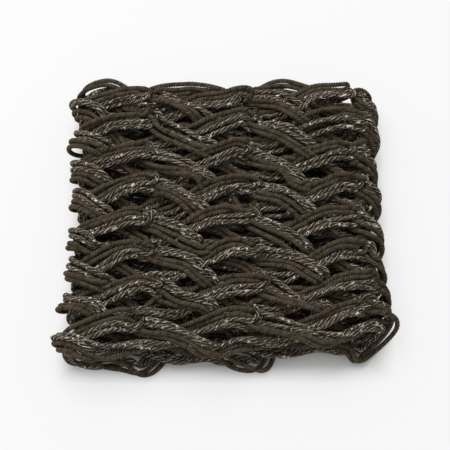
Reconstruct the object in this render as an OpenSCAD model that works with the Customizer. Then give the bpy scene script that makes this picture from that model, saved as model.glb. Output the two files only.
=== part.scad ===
// Chunky knitted cowl, laid flat: a tube of interlooped rounds with a fold at each side.
// Units are millimetres. X runs along the rounds, Y along the tube from the cast-on edge to the
// bind-off edge, and Z up. The origin is on the table, under the middle of the cowl.

/* [Knit] */

// Stitches round the tube
stitches = 6; // [4:2:8]
// Width of one stitch, along its round
stitch_width = 104; // [96:1:120]
// Distance from one round to the next
round_pitch = 36; // [34:0.5:44]
// How far the columns of stitches sit round from the middle of the upper layer
column_shift = -34; // [-52:1:52]

/* [Yarn] */

// Diameter of one yarn. A pair lies side by side, and a bundle is a plain pair and a marled pair
yarn_diameter = 5.2; // [4.4:0.1:5.3]
// Clearance between the plain pair and the marled pair
pair_gap = 0.3; // [0.2:0.05:0.5]
// Clearance between the yarns of one round and the next
round_gap = 0.25; // [0.1:0.05:0.3]

/* [Lying flat] */

// Clear height between the inner faces of the two layers
layer_gap = 6; // [5:0.5:30]
// Depth to which the lower layer is pressed flat on the table
rest_flat = 0.5; // [0.2:0.1:0.8]
// Thickness of a layer as it lies, as a share of the same knit with round yarns
pressed = 0.8; // [0.75:0.05:1]
// Width of the middle rounds, as a share of an even tube
waist = 0.962; // [0.94:0.002:1]
// Width of the cast-on edge, as a share of an even tube
cast_on_flare = 1.02; // [0.96:0.005:1.02]
// How far the cast-on edge lies up the tube at its right end
cast_on_lift = 24; // [0:1:26]

/* [Hidden] */

// Each round and each edge is a plain pair and a marled pair
NODES = [
    "cast_on_plain", "cast_on_marl",
    "round_1_plain", "round_1_marl",
    "round_2_plain", "round_2_marl",
    "round_3_plain", "round_3_marl",
    "round_4_plain", "round_4_marl",
    "round_5_plain", "round_5_marl",
    "round_6_plain", "round_6_marl",
    "bind_off_plain", "bind_off_marl"
];

// Rounds of loops between the cast-on edge and the bind-off edge
rounds = len(NODES) / 2 - 2;

d = yarn_diameter;
w = stitch_width;
p = round_pitch;

// How far the bundle reaches from the middle of a layer, inward and outward
inward_reach = pressed * (2.85 * d + pair_gap);
outward_reach = pressed * 2.9 * d;

// The flat tube: two straight layers and two half-round folds through the middle of the knit
fold_radius = inward_reach + layer_gap / 2;
fold_length = PI * fold_radius;
tube_perimeter = stitches * w;
layer_length = tube_perimeter / 2 - fold_length;
axis_height = fold_radius + outward_reach - rest_flat;

// Reach of the knit past the bases of the cast-on edge and of the bind-off edge
cast_on_drop = 0.11 * p + 2 * d;
bind_off_rise = 1.12 * p + 1.2 * d;
tube_length = (rounds + 1) * p + cast_on_drop + bind_off_rise;

// Width of each round as it lies: [round, share of an even tube]
widths = [[0, cast_on_flare], [2, waist], [rounds, waist], [rounds + 1, (1 + waist) / 2]];
// The slow curve of the cast-on edge: [share of the half width, share of the lift], fading up the tube
edge_curve = [[-1, 0], [-0.4, 0.15], [0.4, 0.23], [0.75, 0.46], [1, 1]];
edge_fade = [[0, 1], [2.5, 0]];

// Colours of the two yarns
plain_colour = [0.16, 0.12, 0.09];
marl_colour = [0.40, 0.36, 0.32];

// Which pair of the bundle a node is
plain = 1;
marl = -1;

// One stitch, from the middle of one sinker to the next. Each station is [along the round, up the tube,
// out of the knit, turn, bunch]. The turn is the angle at which the plain pair lies beside the marled
// pair. A bunch of 0 lays all four yarns flat beside each other, and 1 draws them into a square.
knit_stitch = [
    [-w / 2, -0.053 * p, -1.78 * d, -90, 1],
    [-0.175 * w, 0.094 * p, -1.48 * d, 0, 1],
    [0.467 * w, 0.879 * p, 2.8 * d, 0, 0],
    [0.49 * w, 0.916 * p, 0.81 * d, 0, 1],
    [0.343 * w, 1.816 * p, -0.03 * d, 90, 1],
    [-0.267 * w, 1.401 * p, -1.34 * d, 180, 1],
    [-0.367 * w, 1.159 * p, 0.39 * d, 180, 1],
    [-0.357 * w, 0.907 * p, 1.96 * d, 180, 0],
    [-0.173 * w, 0.149 * p, 2.41 * d, 180, 0],
    [0.025 * w, -0.101 * p, 2.41 * d, 180, 0],
    [0.197 * w, 0.033 * p, -1.21 * d, 180, 1]
];

// The cast-on loop: a low twisted loop on a run along the edge
cast_on_stitch = [
    [-w / 2, -0.14 * p, -1.2 * d, -90, 1],
    [-0.174 * w, 0.092 * p, -1.49 * d, 0, 1],
    [0.467 * w, 0.882 * p, 2.8 * d, 0, 0],
    [0.49 * w, 0.912 * p, 0.82 * d, 0, 1],
    [0.343 * w, 1.816 * p, -0.03 * d, 90, 1],
    [-0.266 * w, 1.4 * p, -1.4 * d, 180, 1],
    [-0.365 * w, 1.162 * p, 0.53 * d, 180, 1],
    [-0.356 * w, 0.907 * p, 2 * d, 180, 0],
    [-0.178 * w, 0.16 * p, 2.38 * d, 180, 0],
    [0.025 * w, -0.106 * p, 2.38 * d, 180, 0],
    [0.196 * w, 0.02 * p, -1.23 * d, 180, 1]
];

// The bind-off loop: a stitch whose head is drawn down along the edge
bind_off_stitch = [
    [-w / 2, -0.067 * p, -1.76 * d, -90, 1],
    [-0.158 * w, 0.083 * p, -1.62 * d, 0, 1],
    [0.404 * w, 0.835 * p, 3.34 * d, 0, 0],
    [0.423 * w, 0.825 * p, 1.87 * d, 0, 1],
    [0.368 * w, 1.115 * p, 1.73 * d, 90, 1],
    [-0.212 * w, 1.066 * p, 0.99 * d, 180, 1],
    [-0.288 * w, 0.925 * p, -1.09 * d, 180, 1],
    [-0.296 * w, 0.725 * p, 0.95 * d, 180, 0],
    [-0.178 * w, 0.16 * p, 2.46 * d, 180, 0],
    [0.026 * w, -0.099 * p, 2.46 * d, 180, 0],
    [0.196 * w, 0.036 * p, -1.37 * d, 180, 1]
];

// A pair of yarns in section, with its width along X
half = (d - round_gap) / 2;
pair_section = [[2 * half, 0], [half, half], [-half, half], [-2 * half, 0], [-half, -half], [half, -half]];

function unit(v) = v / norm(v);

// A point of the flat knit, wrapped round the tube and pressed flat on the table
function wrapped(q) =
    let (
        reach = layer_length / 2,
        s = q[0] + column_shift + tube_perimeter + reach,
        lap_s = s - tube_perimeter * floor(s / tube_perimeter) - reach,
        r = fold_radius + pressed * q[2],
        right_turn = (lap_s - reach) / fold_radius * 180 / PI,
        left_turn = (lap_s - 3 * reach - fold_length) / fold_radius * 180 / PI,
        xz = lap_s < reach ? [lap_s, r]
            : lap_s < reach + fold_length ? [reach + r * sin(right_turn), r * cos(right_turn)]
            : lap_s < 3 * reach + fold_length ? [2 * reach + fold_length - lap_s, -r]
            : [-reach - r * sin(left_turn), -r * cos(left_turn)],
        x = xz[0] * lookup(q[1] / p, widths),
        across = x / (reach + fold_radius),
        lift = cast_on_lift * lookup(across, edge_curve) * lookup(q[1] / p, edge_fade)
    )
    [x, q[1] + lift + cast_on_drop - tube_length / 2, max(0, xz[1] + axis_height)];

// A station of a round, which may be a step before its first or after its last
function station(stitch, i) =
    let (n = len(stitch), lap = floor(i / n))
    stitch[i - lap * n] + [lap * w, 0, 0, 0, 0];

function middle(q) = [q[0], q[1], q[2]];

// The section of one pair at a station, in the flat knit
function pair_ring(stitch, i, side) =
    let (
        q = station(stitch, i),
        tangent = unit(middle(station(stitch, i + 1)) - middle(station(stitch, i - 1))),
        out = unit([0, 0, 1] - tangent * tangent[2]),
        up = cross(out, tangent),
        lay = q[3] + 90 * q[4],
        beside = cos(q[3]) * up + sin(q[3]) * out,
        wide = cos(lay) * up + sin(lay) * out,
        thick = cos(lay) * out - sin(lay) * up,
        spread = d / 2 * (1 + cos(90 * q[4])) + pair_gap / 2
    )
    [for (c = pair_section) middle(q) + side * spread * beside + c[0] * wide + c[1] * thick];

// Where the step after a station bends round a fold, as shares of that step
function fold_shares(stitch, i) =
    let (
        from = station(stitch, i)[0],
        length = station(stitch, i + 1)[0] - from,
        folds = length > 0 ? [-2 : 1 : 3] : [3 : -1 : -2],
        sides = length > 0 ? [-1, 1] : [1, -1]
    )
    [
        for (fold = folds, side = sides)
            let (
                at = tube_perimeter * (fold / 2 + 1 / 4) + side * fold_length / 4 - column_shift,
                share = (at - from) / length
            )
            if (share > 0.05 && share < 0.95) share
    ];

// A closed round of one pair of yarns, swept through its stations
module pair_round(stitch, row, side) {
    rings = [
        for (i = [0 : stitches * len(stitch) - 1])
            let (here = pair_ring(stitch, i, side), next = pair_ring(stitch, i + 1, side))
            for (share = concat([0], fold_shares(stitch, i)))
                [for (j = [0 : len(here) - 1]) here[j] + share * (next[j] - here[j])]
    ];
    n = len(rings);
    sides = len(pair_section);
    points = [for (ring = rings, q = ring) wrapped(q + [0, row * p, 0])];
    faces = [
        for (i = [0 : n - 1], j = [0 : sides - 1])
            let (
                a = i * sides + j,
                b = i * sides + (j + 1) % sides,
                c = (i + 1) % n * sides + (j + 1) % sides,
                e = (i + 1) % n * sides + j
            )
            each [[a, c, b], [a, e, c]]
    ];
    polyhedron(points, faces);
}

// The edge that the knitting starts from
module cast_on(side) {
    pair_round(cast_on_stitch, 0, side);
}

// One round of knit stitches, each drawn through the loop below
module knit_round(row, side) {
    pair_round(knit_stitch, row, side);
}

// The edge that closes the last round
module bind_off(side) {
    pair_round(bind_off_stitch, rounds + 1, side);
}

module cast_on_plain() color(plain_colour) cast_on(plain);
module cast_on_marl() color(marl_colour) cast_on(marl);
module round_1_plain() color(plain_colour) knit_round(1, plain);
module round_1_marl() color(marl_colour) knit_round(1, marl);
module round_2_plain() color(plain_colour) knit_round(2, plain);
module round_2_marl() color(marl_colour) knit_round(2, marl);
module round_3_plain() color(plain_colour) knit_round(3, plain);
module round_3_marl() color(marl_colour) knit_round(3, marl);
module round_4_plain() color(plain_colour) knit_round(4, plain);
module round_4_marl() color(marl_colour) knit_round(4, marl);
module round_5_plain() color(plain_colour) knit_round(5, plain);
module round_5_marl() color(marl_colour) knit_round(5, marl);
module round_6_plain() color(plain_colour) knit_round(6, plain);
module round_6_marl() color(marl_colour) knit_round(6, marl);
module bind_off_plain() color(plain_colour) bind_off(plain);
module bind_off_marl() color(marl_colour) bind_off(marl);

cast_on_plain();
cast_on_marl();
round_1_plain();
round_1_marl();
round_2_plain();
round_2_marl();
round_3_plain();
round_3_marl();
round_4_plain();
round_4_marl();
round_5_plain();
round_5_marl();
round_6_plain();
round_6_marl();
bind_off_plain();
bind_off_marl();
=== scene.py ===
"""Chunky knitted cowl, laid flat: each yarn of each round is plied and settled on its neighbours."""
import math

import bpy
import numpy as np
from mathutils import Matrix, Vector
from mathutils.kdtree import KDTree


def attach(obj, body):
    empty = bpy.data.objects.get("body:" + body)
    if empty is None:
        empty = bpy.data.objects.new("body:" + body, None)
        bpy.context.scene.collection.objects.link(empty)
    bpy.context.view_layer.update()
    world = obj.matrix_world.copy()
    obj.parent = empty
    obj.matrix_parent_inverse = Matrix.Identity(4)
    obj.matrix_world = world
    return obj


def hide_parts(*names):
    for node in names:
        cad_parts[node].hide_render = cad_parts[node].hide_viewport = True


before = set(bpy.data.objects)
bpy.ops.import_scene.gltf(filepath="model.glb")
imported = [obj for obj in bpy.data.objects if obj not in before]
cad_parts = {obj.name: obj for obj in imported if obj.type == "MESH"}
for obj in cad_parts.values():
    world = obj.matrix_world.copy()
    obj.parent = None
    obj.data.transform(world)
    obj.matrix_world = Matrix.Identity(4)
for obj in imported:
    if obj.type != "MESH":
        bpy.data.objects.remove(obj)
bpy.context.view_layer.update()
random = np.random.default_rng(7)

# Sizes of the knit, in millimetres
MM = 0.001
STITCHES = 6
STITCH_WIDTH = 104
ROUND_PITCH = 36
ROUNDS = 6
COLUMN_SHIFT = -34
YARN = 5.2
PAIR_GAP = 0.3
LAYER_GAP = 6
REST_FLAT = 0.5
PRESSED = 0.8

# The flat tube: two straight layers and two half-round folds
FOLD_RADIUS = PRESSED * (2.85 * YARN + PAIR_GAP) + LAYER_GAP / 2
FOLD_LENGTH = math.pi * FOLD_RADIUS
PERIMETER = STITCHES * STITCH_WIDTH
LAYER_LENGTH = PERIMETER / 2 - FOLD_LENGTH
AXIS_HEIGHT = FOLD_RADIUS + PRESSED * 2.9 * YARN - REST_FLAT
CAST_ON_DROP = 0.11 * ROUND_PITCH + 2 * YARN
BIND_OFF_RISE = 1.12 * ROUND_PITCH + 1.2 * YARN
TUBE_LENGTH = (ROUNDS + 1) * ROUND_PITCH + CAST_ON_DROP + BIND_OFF_RISE

# Width of each round as it lies, as a share of an even tube, from the cast-on edge up
DRAWN_IN = [1.02, 1.005, 0.985, 0.975, 0.965, 0.962, 0.965, 0.985, 0.985]
# The cast-on edge lies in a slow curve: how far it lifts at these places across the cowl
EDGE_SPANS = [-160, -60, 60, 120, 160]
CAST_ON_LIFT = [0, 4, 8, 18, 32]

# How far a hand-made stitch strays from an even one: along, up, out, and turn in degrees
STRAY = np.array([4.0, 2.5, 0.9, 25, 0.15])
# How far a whole round slips along from the one below
ROUND_SLIP = 4
# How far one yarn wanders inside its bundle, and in how many waves round the cowl
WANDER = 2.2
DRIFT_WAVES = (7, 11, 17, 23)

# Settling: the yarns are chains of points that push apart until they little more than touch
FINE_STEP = 1.0
CORNER_ROUNDING = 30
TURN_ROUNDING = 70
CHAIN_STEP = 3.0
TOUCH = 0.96 * YARN
SETTLING_STEPS = 60
PAIRS_FOR_STEPS = 12
PAIR_REACH = 1.5 * TOUCH
NEIGHBOURS_LEFT_OUT = 4
# What share of each correction one step makes: apart, back to length, straighter, back home
PUSH_SHARE = 0.45
LENGTH_SHARE = 0.7
STRAIGHTEN_SHARE = 0.12
HOME_SHARE = 0.02

# The plies of the two yarns
PLAIN = {"plies": 3, "pitch": 7.5, "groove": 0.32, "columns": 12, "ring_step": 0.58}
MARL = {"plies": 8, "pitch": 26.0, "groove": 0.16, "columns": 16, "ring_step": 1.0}
# How pale every second ply of the marl is, beside the ply between
PALE_PLIES = [1.0, 0.1]
# The ply numbers of two yarns differ by a step of this many, so that their flecks differ too
YARN_STEP = 10
YARN_STEPS = 90
# Strips that one yarn takes on the bake's map, and the share of a strip left free at each side
STRIPS = 14
STRIP_MARGIN = 0.08


def stitch_stations(kind):
    """One stitch of a round: rows of along the round, up the tube, out of the knit, turn, bunch."""
    d, w, p = YARN, STITCH_WIDTH, ROUND_PITCH
    base = [
        [-w / 2, 0.04 * p, -0.9 * d, -90, 1],
        [-0.30 * w, 0.08 * p, -1.0 * d, -45, 1],
        [-0.19 * w, 0.20 * p, -0.6 * d, 0, 0.5],
    ]
    rise = [
        [0, 0.46 * p, 0.9 * d, 0, 0],
        [0.28 * w, 0.78 * p, 2.3 * d, 0, 0],
        [0.48 * w, 0.90 * p, 2.8 * d, 0, 0],
        [0.60 * w, 0.84 * p, 1.2 * d, 0, 0.4],
    ]
    head = [
        [0.60 * w, 0.98 * p, -1.2 * d, 10, 1],
        [0.38 * w, 1.42 * p, -1.3 * d, 70, 1],
        [0.18 * w, 1.68 * p, -0.9 * d, 90, 0.9],
        [-0.10 * w, 1.70 * p, -0.7 * d, 90, 0.8],
        [-0.30 * w, 1.50 * p, -1.2 * d, 135, 1],
        [-0.42 * w, 1.10 * p, -1.3 * d, 180, 1],
    ]
    fall = [
        [-0.42 * w, 0.92 * p, -0.6 * d, 180, 0.8],
        [-0.33 * w, 0.74 * p, 1.2 * d, 180, 0.2],
        [-0.14 * w, 0.42 * p, 2.5 * d, 180, 0],
        [0.07 * w, 0.02 * p, 2.5 * d, 180, 0],
    ]
    end = [
        [0.14 * w, -0.12 * p, 1.3 * d, 185, 0.3],
        [0.23 * w, -0.10 * p, -0.8 * d, 215, 1],
    ]
    if kind == "cast_on":
        base[0] = [-w / 2, 0.16 * p, -0.4 * d, -90, 1]
        base[1] = [-0.30 * w, 0.10 * p, -0.6 * d, -45, 1]
        rise[2][1] = 0.82 * p
        rise[3][1] = 0.78 * p
        fall[0][1] = 0.84 * p
        fall[1][1] = 0.66 * p
    if kind == "bind_off":
        rise[1:] = [
            [0.28 * w, 0.66 * p, 2.2 * d, 0, 0],
            [0.48 * w, 0.74 * p, 2.4 * d, 0, 0.2],
            [0.58 * w, 0.80 * p, 1.0 * d, 10, 0.8],
        ]
        head = [
            [0.46 * w, 0.84 * p, 0, 60, 0.9],
            [0.20 * w, 0.90 * p, 0.2 * d, 90, 0.7],
            [-0.10 * w, 0.92 * p, 0.2 * d, 140, 0.7],
            [-0.36 * w, 0.86 * p, -0.2 * d, 180, 0.9],
        ]
        fall[:2] = [
            [-0.47 * w, 0.82 * p, -0.6 * d, 180, 0.9],
            [-0.36 * w, 0.66 * p, 1.0 * d, 180, 0.3],
        ]
    return np.array(base + rise + head + fall + end)


def closed_spline(points, step):
    """Points about a step apart on a smooth closed curve through the given ones."""
    gaps = np.linalg.norm(np.roll(points, -1, 0) - points, axis=1)
    n = len(points)
    here = np.arange(n)
    before = (here - 1) % n
    after = (here + 1) % n
    system = np.zeros((n, n))
    system[here, before] += gaps[before]
    system[here, here] += 2 * (gaps[before] + gaps)
    system[here, after] += gaps
    slopes = (points[after] - points) / gaps[:, None]
    bends = np.linalg.solve(system, 6 * (slopes - slopes[before]))
    total = gaps.sum()
    starts = np.concatenate([[0], np.cumsum(gaps)])
    at = np.linspace(0, total, max(8, round(total / step)), endpoint=False)
    i = np.clip(np.searchsorted(starts, at, side="right") - 1, 0, n - 1)
    h = gaps[i][:, None]
    b = (at - starts[i])[:, None] / h
    a = 1 - b
    curve = a * points[i] + b * points[after[i]]
    return curve + ((a**3 - a) * bends[i] + (b**3 - b) * bends[after[i]]) * h**2 / 6


def smoothed(values, times):
    """Values round a closed line, evened out with their neighbours."""
    for _ in range(times):
        values = (np.roll(values, 1, 0) + 2 * values + np.roll(values, -1, 0)) / 4
    return values


def unit(v):
    return v / np.linalg.norm(v, axis=1, keepdims=True)


def wrapped(q):
    """Points of the flat knit, wrapped round the tube."""
    half = LAYER_LENGTH / 2
    s = (q[:, 0] + COLUMN_SHIFT + half) % PERIMETER - half
    r = FOLD_RADIUS + PRESSED * q[:, 2]
    right = (s - half) / FOLD_RADIUS
    left = (s - 3 * half - FOLD_LENGTH) / FOLD_RADIUS
    where = [s < half, s < half + FOLD_LENGTH, s < 3 * half + FOLD_LENGTH]
    across = [s, half + r * np.sin(right), 2 * half + FOLD_LENGTH - s]
    x = np.select(where, across, -half - r * np.sin(left))
    z = np.select(where, [r, r * np.cos(right), -r], -r * np.cos(left))
    x = x * np.interp(q[:, 1] / ROUND_PITCH, np.arange(len(DRAWN_IN)), DRAWN_IN)
    y = q[:, 1] + CAST_ON_DROP - TUBE_LENGTH / 2
    y = y + np.interp(x, EDGE_SPANS, CAST_ON_LIFT) * np.interp(q[:, 1] / ROUND_PITCH, [0, 2.5], [1, 0])
    return np.stack([x, y, z + AXIS_HEIGHT], 1)


def wandering(count, size):
    """A slow drift along a closed line of that many points."""
    at = np.linspace(0, 2 * math.pi, count, endpoint=False)
    drift = np.zeros((count, 3))
    for waves in DRIFT_WAVES:
        height = random.normal(0, size / 2, 3)
        start = random.uniform(0, 2 * math.pi, 3)
        drift += height * np.sin(waves * at[:, None] + start)
    return drift


def bundle(kind, row):
    """The four yarns of a round as chains of points: two plain, then two marled."""
    stitch = stitch_stations(kind)
    stations = []
    slip = random.normal(0, ROUND_SLIP)
    for k in range(STITCHES):
        shift = [k * STITCH_WIDTH + slip, row * ROUND_PITCH, 0, 360 * k, 0]
        stations.append(stitch + shift + random.normal(0, 1, stitch.shape) * STRAY)
    stations = np.concatenate(stations)
    stations[:, 4] = stations[:, 4].clip(0, 1)
    # One lap of the round moves on by the perimeter and by a turn for each stitch
    lap = np.array([PERIMETER, 0, 0, 360 * STITCHES, 0])
    closed = np.concatenate([stations, stations[:1] + lap])
    starts = np.concatenate([[0], np.cumsum(np.linalg.norm(np.diff(closed[:, :3], axis=0), axis=1))])
    n = round(starts[-1] / FINE_STEP)
    share = np.linspace(0, 1, n, endpoint=False)
    trend = share[:, None] * lap
    path = np.stack([np.interp(share * starts[-1], starts, c) for c in closed.T], 1) - trend
    rounded = smoothed(path[:, :3], CORNER_ROUNDING)
    turned = smoothed(path[:, 3:], TURN_ROUNDING)
    path = np.concatenate([rounded, turned], 1) + trend
    line = path[:, :3]
    turn = np.radians(path[:, 3])
    bunch = path[:, 4] * math.pi / 2
    # The bundle's own directions, in the flat knit
    even = lap[:3] / n
    tangent = unit(np.roll(line - trend[:, :3], -1, 0) - np.roll(line - trend[:, :3], 1, 0) + 2 * even)
    out = unit([0, 0, 1] - tangent * tangent[:, 2:])
    up = np.cross(out, tangent)
    beside = np.cos(turn)[:, None] * up + np.sin(turn)[:, None] * out
    wide = np.cos(turn + bunch)[:, None] * up + np.sin(turn + bunch)[:, None] * out
    spread = (YARN / 2 * (1 + np.cos(bunch)) + PAIR_GAP / 2)[:, None]
    yarns = []
    for side in (1, -1):
        for edge in (1, -1):
            flat = line + side * spread * beside + edge * YARN / 2 * wide + wandering(n, WANDER)
            chain = wrapped(flat)[:: round(CHAIN_STEP / FINE_STEP)]
            yarns.append(chain)
    return yarns


def close_pairs(points, strand, place, sizes):
    """Pairs of points that may touch, leaving out near neighbours on one yarn."""
    tree = KDTree(len(points))
    for i, point in enumerate(points):
        tree.insert(point, i)
    tree.balance()
    first, second = [], []
    for i, point in enumerate(points):
        for _, j, _ in tree.find_range(point, PAIR_REACH):
            if j > i:
                first.append(i)
                second.append(j)
    first, second = np.array(first), np.array(second)
    apart = np.abs(place[first] - place[second])
    apart = np.minimum(apart, sizes[first] - apart)
    keep = (strand[first] != strand[second]) | (apart > NEIGHBOURS_LEFT_OUT)
    return first[keep], second[keep]


def settled(yarns):
    """The chains, pushed apart until they little more than touch, with their lengths about kept."""
    counts = np.array([len(y) for y in yarns])
    points = np.concatenate(yarns)
    starts = np.cumsum(counts) - counts
    strand = np.repeat(np.arange(len(yarns)), counts)
    sizes = counts[strand]
    place = np.arange(len(points)) - starts[strand]
    after = starts[strand] + (place + 1) % sizes
    before = starts[strand] + (place - 1) % sizes
    home = points.copy()
    rest = np.linalg.norm(points[after] - points, axis=1)
    for step in range(SETTLING_STEPS):
        if step % PAIRS_FOR_STEPS == 0:
            first, second = close_pairs(points, strand, place, sizes)
        gap = points[second] - points[first]
        length = np.linalg.norm(gap, axis=1)
        short = np.where(length < TOUCH, (TOUCH - length) / 2, 0)
        push = short[:, None] * gap / np.maximum(length, 0.1)[:, None]
        move = np.zeros_like(points)
        for axis in range(3):
            move[:, axis] -= np.bincount(first, push[:, axis], len(points))
            move[:, axis] += np.bincount(second, push[:, axis], len(points))
        points = points + PUSH_SHARE * move
        step_on = points[after] - points
        length = np.linalg.norm(step_on, axis=1)
        pull = ((length - rest) / length)[:, None] * step_on / 2
        points = points + LENGTH_SHARE * (pull - pull[before])
        points = points + STRAIGHTEN_SHARE * ((points[after] + points[before]) / 2 - points)
        points = points + HOME_SHARE * (home - points)
        points[:, 2] = np.maximum(points[:, 2], YARN / 2 - REST_FLAT / 2)
    return [points[s : s + c] for s, c in zip(starts, counts)]


def carried_frames(line):
    """Two directions across a closed line, carried along it without twist, and closed by an even turn."""
    tangent = unit(np.roll(line, -1, 0) - np.roll(line, 1, 0))
    across = np.empty_like(line)
    across[0] = np.cross(tangent[0], [0.3, 0.2, 0.9])
    across[0] /= np.linalg.norm(across[0])
    for i in range(1, len(line)):
        moved = across[i - 1] - tangent[i] * (across[i - 1] @ tangent[i])
        across[i] = moved / np.linalg.norm(moved)
    last = across[-1] - tangent[0] * (across[-1] @ tangent[0])
    miss = math.atan2(np.cross(last, across[0]) @ tangent[0], last @ across[0])
    return across, np.cross(tangent, across), miss


def plied_tube(chain, plies):
    """A plied yarn round a closed chain: points by ring and column, each with its place, ply and height."""
    line = closed_spline(chain, plies["ring_step"])
    n, columns = len(line), plies["columns"]
    across, over, miss = carried_frames(line)
    step = np.linalg.norm(np.roll(line, -1, 0) - line, axis=1)
    length = step.sum()
    along = np.cumsum(step) - step
    turns = round(length / plies["pitch"])
    share = along / length
    ply_angle = -2 * math.pi * turns * share
    spin = share * miss
    column = np.arange(columns) / columns * 2 * math.pi
    if plies is MARL:
        # Columns that follow the plies
        angle = column[None, :] + ply_angle[:, None]
        phase = np.broadcast_to(column, angle.shape)
    else:
        angle = np.broadcast_to(column, (n, columns))
        phase = angle - ply_angle[:, None]
    height = np.cos(phase * plies["plies"] / 2) ** 2
    radius = YARN / 2 * (1 - plies["groove"] * (1 - height))
    around = (angle + spin[:, None])[:, :, None]
    points = line[:, None, :] + radius[:, :, None] * (
        np.cos(around) * across[:, None, :] + np.sin(around) * over[:, None, :]
    )
    ply = np.floor(phase * plies["plies"] / (2 * math.pi) + 0.5) % plies["plies"]
    if plies is MARL:
        height = height * np.take(PALE_PLIES, ply.astype(int) % 2)
    # The height in the lay colours the wool: its fall from crown to groove paints shade into the grooves,
    # and its pale-ply share is the marl's own colour
    lay = np.stack([np.broadcast_to(along[:, None], height.shape) * MM, ply, height], 2)
    return points, lay


def strip_map(rings, columns, row, rows):
    """Corners of a tube's faces on the bake's map, where the yarn is cut into strips."""
    per_strip = math.ceil(rings / rows)
    i = np.arange(rings)
    strip = i // per_strip + row
    start = (i % per_strip) / per_strip
    width = 1 / per_strip
    j = np.arange(columns)
    wide = 1 - 2 * STRIP_MARGIN
    low = STRIP_MARGIN + wide * j / columns
    high = STRIP_MARGIN + wide * (j + 1) / columns
    total = 2 * rows
    u0 = np.broadcast_to(start[:, None], (rings, columns))
    v0 = (strip[:, None] + low[None, :]) / total
    v1 = (strip[:, None] + high[None, :]) / total
    places = [(u0, v0), (u0 + width, v0), (u0 + width, v1), (u0, v1)]
    return np.stack([np.stack(place, 2) for place in places], 2).reshape(-1, 2)


def yarn_pair(name, chains, plies, material):
    """One named piece: the two yarns of a pair, as one mesh."""
    verts, lays, faces, corners = [], [], [], []
    offset = 0
    for k, chain in enumerate(chains):
        points, lay = plied_tube(chain, plies)
        rings, columns = points.shape[:2]
        i, j = np.meshgrid(np.arange(rings), np.arange(columns), indexing="ij")
        a = i * columns + j
        b = (i + 1) % rings * columns + j
        c = (i + 1) % rings * columns + (j + 1) % columns
        e = i * columns + (j + 1) % columns
        faces.append(np.stack([a, b, c, e], 2).reshape(-1, 4) + offset)
        corners.append(strip_map(rings, columns, k * STRIPS, STRIPS))
        lay[:, :, 1] += YARN_STEP * random.integers(1, YARN_STEPS)
        verts.append(points.reshape(-1, 3) * MM)
        lays.append(lay.reshape(-1, 3))
        offset += rings * columns
    mesh = bpy.data.meshes.new(name)
    mesh.from_pydata(np.concatenate(verts), [], np.concatenate(faces))
    lay = mesh.attributes.new("lay", "FLOAT_VECTOR", "POINT")
    lay.data.foreach_set("vector", np.concatenate(lays).ravel())
    bake_map = mesh.uv_layers.new(name="OFBake")
    bake_map.uv.foreach_set("vector", np.concatenate(corners).ravel())
    mesh.shade_smooth()
    mesh.materials.append(material)
    piece = bpy.data.objects.new(name, mesh)
    bpy.context.scene.collection.objects.link(piece)
    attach(piece, "root")
    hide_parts(name)
    return piece


def new_material(name):
    material = bpy.data.materials.new(name)
    material.use_nodes = True
    nodes = material.node_tree.nodes
    nodes.clear()
    return material, nodes, material.node_tree.links


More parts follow.
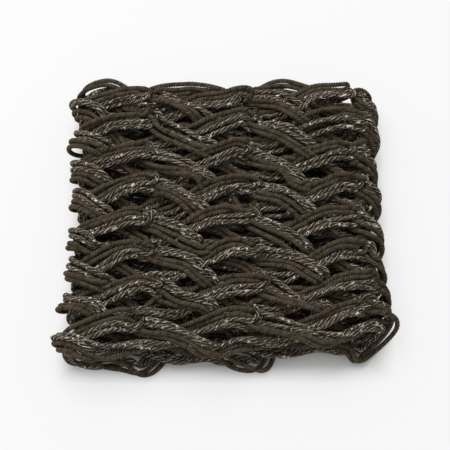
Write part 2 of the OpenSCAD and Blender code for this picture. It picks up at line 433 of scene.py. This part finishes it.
def wool(name, dark, pale, patchy, pale_from, pale_to):
    """Wool whose ply crowns carry the pale colour, in strokes that break up the more patchy it is: the
    strokes and the marl's pale plies are the wool's own colour, and the darker colour down in the grooves
    between plies is painted shade.
    """
    material, nodes, links = new_material(name)
    shader = nodes.new("ShaderNodeBsdfPrincipled")
    shader.inputs["Roughness"].default_value = 0.9
    shader.inputs["Specular IOR Level"].default_value = 0.08
    shader.inputs["Sheen Weight"].default_value = 0.08
    shader.inputs["Sheen Tint"].default_value = (0.7, 0.5, 0.3, 1)
    shader.inputs["Sheen Roughness"].default_value = 0.5
    output = nodes.new("ShaderNodeOutputMaterial")
    links.new(shader.outputs["BSDF"], output.inputs["Surface"])
    lay = nodes.new("ShaderNodeAttribute")
    lay.attribute_name = "lay"
    parts = nodes.new("ShaderNodeSeparateXYZ")
    links.new(lay.outputs["Vector"], parts.inputs["Vector"])
    # Strokes: the pale fibres come and go along each ply
    strokes = nodes.new("ShaderNodeTexNoise")
    strokes.inputs["Scale"].default_value = 1
    strokes.inputs["Detail"].default_value = 2
    spread = nodes.new("ShaderNodeVectorMath")
    spread.operation = "MULTIPLY"
    spread.inputs[1].default_value = (240, 7.3, 1.5)
    links.new(lay.outputs["Vector"], spread.inputs[0])
    links.new(spread.outputs["Vector"], strokes.inputs["Vector"])
    # The ply height is added to the strokes: it darkens the grooves between plies, which is painted shade,
    # and lightens the crowns
    strokes_and_groove_shade = nodes.new("ShaderNodeMath")
    strokes_and_groove_shade.operation = "MULTIPLY_ADD"
    strokes_and_groove_shade.inputs[1].default_value = patchy
    links.new(strokes.outputs["Fac"], strokes_and_groove_shade.inputs[0])
    links.new(parts.outputs["Z"], strokes_and_groove_shade.inputs[2])
    share = nodes.new("ShaderNodeMapRange")
    share.inputs["From Min"].default_value = pale_from
    share.inputs["From Max"].default_value = pale_to
    links.new(strokes_and_groove_shade.outputs["Value"], share.inputs["Value"])
    colours = nodes.new("ShaderNodeMix")
    colours.data_type = "RGBA"
    colours.inputs["A"].default_value = (*dark, 1)
    colours.inputs["B"].default_value = (*pale, 1)
    links.new(share.outputs["Result"], colours.inputs["Factor"])
    # Fibres: fine mottling of the wool
    fibres = nodes.new("ShaderNodeTexNoise")
    fibres.inputs["Scale"].default_value = 900
    fibres.inputs["Detail"].default_value = 3
    coordinates = nodes.new("ShaderNodeTexCoord")
    links.new(coordinates.outputs["Object"], fibres.inputs["Vector"])
    mottled = nodes.new("ShaderNodeMapRange")
    mottled.inputs["To Min"].default_value = 0.6
    mottled.inputs["To Max"].default_value = 1.4
    links.new(fibres.outputs["Fac"], mottled.inputs["Value"])
    tinted = nodes.new("ShaderNodeVectorMath")
    tinted.operation = "SCALE"
    links.new(colours.outputs["Result"], tinted.inputs["Vector"])
    links.new(mottled.outputs["Result"], tinted.inputs["Scale"])
    links.new(tinted.outputs["Vector"], shader.inputs["Base Color"])
    bump = nodes.new("ShaderNodeBump")
    bump.inputs["Strength"].default_value = 0.5
    bump.inputs["Distance"].default_value = 0.0006
    links.new(fibres.outputs["Fac"], bump.inputs["Height"])
    links.new(bump.outputs["Normal"], shader.inputs["Normal"])
    return material


def table_top():
    """A plain white table that stays white to the camera and keeps a soft shadow."""
    material, nodes, links = new_material("table_white")
    diffuse = nodes.new("ShaderNodeBsdfDiffuse")
    diffuse.inputs["Color"].default_value = (0.9, 0.9, 0.9, 1)
    glow = nodes.new("ShaderNodeEmission")
    glow.inputs["Color"].default_value = (0.93, 0.93, 0.93, 1)
    path = nodes.new("ShaderNodeLightPath")
    # The glow fades out under the cowl, so that its gaps stay in shade
    place = nodes.new("ShaderNodeTexCoord")
    shrink = nodes.new("ShaderNodeVectorMath")
    shrink.operation = "DIVIDE"
    shrink.inputs[1].default_value = (0.15, 0.145, 1)
    links.new(place.outputs["Object"], shrink.inputs[0])
    size = nodes.new("ShaderNodeVectorMath")
    size.operation = "ABSOLUTE"
    links.new(shrink.outputs["Vector"], size.inputs[0])
    sides = nodes.new("ShaderNodeSeparateXYZ")
    links.new(size.outputs["Vector"], sides.inputs["Vector"])
    far = nodes.new("ShaderNodeMath")
    far.operation = "MAXIMUM"
    links.new(sides.outputs["X"], far.inputs[0])
    links.new(sides.outputs["Y"], far.inputs[1])
    fade = nodes.new("ShaderNodeMapRange")
    fade.inputs["From Min"].default_value = 0.95
    fade.inputs["From Max"].default_value = 1.08
    fade.inputs["To Max"].default_value = 0.75
    links.new(far.outputs["Value"], fade.inputs["Value"])
    share = nodes.new("ShaderNodeMath")
    share.operation = "MULTIPLY"
    links.new(fade.outputs["Result"], share.inputs[1])
    links.new(path.outputs["Is Camera Ray"], share.inputs[0])
    mix = nodes.new("ShaderNodeMixShader")
    links.new(share.outputs["Value"], mix.inputs["Fac"])
    links.new(diffuse.outputs["BSDF"], mix.inputs[1])
    links.new(glow.outputs["Emission"], mix.inputs[2])
    output = nodes.new("ShaderNodeOutputMaterial")
    links.new(mix.outputs["Shader"], output.inputs["Surface"])
    mesh = bpy.data.meshes.new("table_top")
    reach = 4
    corners = [(-reach, -reach, 0), (reach, -reach, 0), (reach, reach, 0), (-reach, reach, 0)]
    mesh.from_pydata(corners, [], [(0, 1, 2, 3)])
    mesh.materials.append(material)
    top = bpy.data.objects.new("table_top", mesh)
    bpy.context.scene.collection.objects.link(top)


def light_and_camera():
    scene = bpy.context.scene
    scene.view_settings.view_transform = "Standard"
    world = bpy.data.worlds.new("studio")
    world.use_nodes = True
    background = world.node_tree.nodes["Background"]
    background.inputs["Color"].default_value = (1, 1, 1, 1)
    background.inputs["Strength"].default_value = 0.65
    scene.world = world
    lamp = bpy.data.lights.new("soft_box", "AREA")
    lamp.size = 1.2
    lamp.energy = 18
    box = bpy.data.objects.new("soft_box", lamp)
    box.location = (-0.5, 0.5, 1.5)
    box.rotation_euler = (-box.location).to_track_quat("-Z", "Y").to_euler()
    scene.collection.objects.link(box)
    lens = bpy.data.cameras.new("camera")
    lens.sensor_width = 36
    lens.lens = 123
    camera = bpy.data.objects.new("camera", lens)
    elevation = math.radians(62.5)
    distance = 1.5
    aim = Vector((0, 0, 0.025))
    back = Vector((0, -math.cos(elevation), math.sin(elevation)))
    camera.location = aim + back * distance
    camera.rotation_euler = (-back).to_track_quat("-Z", "Y").to_euler()
    scene.collection.objects.link(camera)
    scene.camera = camera


light_and_camera()
table_top()

plain_wool = wool("plain_wool", (0.005, 0.0036, 0.0022), (0.125, 0.098, 0.066), 3, 1.65, 2.4)
marl_wool = wool("marl_wool", (0.030, 0.022, 0.0138), (0.72, 0.65, 0.54), 11, 6.75, 7.2)

kinds = ["cast_on"] + [f"round_{i}" for i in range(1, ROUNDS + 1)] + ["bind_off"]
chains = []
for row, name in enumerate(kinds):
    kind = "knit" if name.startswith("round") else name
    chains += bundle(kind, row)
chains = settled(chains)
for row, name in enumerate(kinds):
    four = chains[4 * row : 4 * row + 4]
    yarn_pair(f"{name}_plain", four[:2], PLAIN, plain_wool)
    yarn_pair(f"{name}_marl", four[2:], MARL, marl_wool)

bpy.context.view_layer.update()
